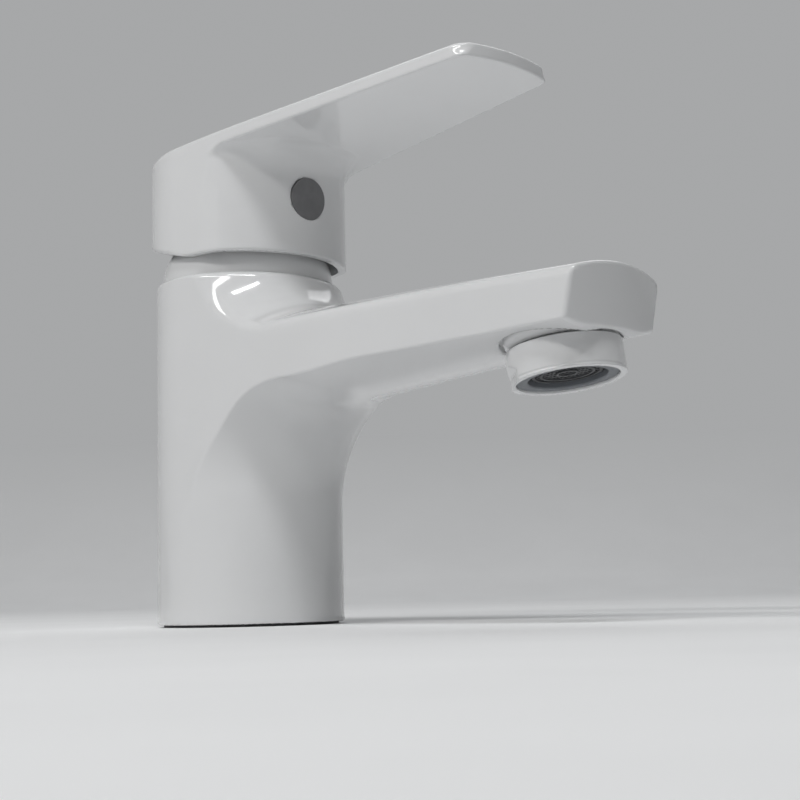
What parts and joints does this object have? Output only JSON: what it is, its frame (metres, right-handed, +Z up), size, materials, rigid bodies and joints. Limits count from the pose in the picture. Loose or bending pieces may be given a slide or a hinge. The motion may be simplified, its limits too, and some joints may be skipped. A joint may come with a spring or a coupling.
{
  "type": "bathroom mixer faucet",
  "caption": "Single-lever basin mixer in white enamel, with a ceramic-disc cartridge, a spout with aerator and fixing parts under the deck.",
  "frame": {"origin": "on the deck plane, at the centre of the column's base", "axes": "+Z up along the column, +X along the spout, +Y to the cold side; mirror-symmetric outside about Y = 0"},
  "size_m": [0.1497, 0.0488, 0.1815],
  "materials": {
    "enamel": "gloss",
    "brass": "satin",
    "stainless": "satin",
    "rubber": "matt",
    "grey_plastic": "matt",
    "white_plastic": "satin",
    "red_plastic": "satin",
    "ceramic": "polished",
    "dark_plug": "satin"
  },
  "bodies": {
    "body": {"body": "enamel", "base_seal": "rubber", "trim_ring": "enamel", "cartridge_nut": "brass", "cartridge_housing": "grey_plastic", "cartridge_base": "grey_plastic", "cartridge_seal": "rubber", "port_seals": "rubber", "fixed_disc": "ceramic", "aerator_housing": "enamel", "aerator_core": "grey_plastic", "flow_screen": "stainless", "aerator_washer": "rubber", "mounting_stud": "stainless", "clamp_gasket": "rubber", "clamp_plate": "stainless", "stud_nut": "brass"},
    "turret": {"turret": "white_plastic", "temperature_limiter": "red_plastic", "stem_pin": "stainless"},
    "handle": {"handle": "enamel", "stem_insert": "grey_plastic", "grub_screw": "stainless", "index_plug": "dark_plug", "lever_stem": "stainless"},
    "disc_slider": {"moving_disc": "ceramic", "disc_carrier": "white_plastic"}
  },
  "joints": [
    {"name": "handle_turn", "type": "hinge", "parent": "body", "child": "turret", "pos_m": [0, 0, 0.095], "axis": [0, 0, 1], "range_deg": [-45, 45]},
    {"name": "handle_lift", "type": "hinge", "parent": "turret", "child": "handle", "pos_m": [0, 0, 0.095], "axis": [0, -1, 0], "range_deg": [0, 22]},
    {"name": "disc_slide", "type": "slide", "parent": "turret", "child": "disc_slider", "axis": [1, 0, 0], "range_m": [0, 0.006]}
  ],
  "couplings": [
    {"joint": "disc_slide", "follows": "handle_lift", "m_per_rad": 0.0154}
  ]
}
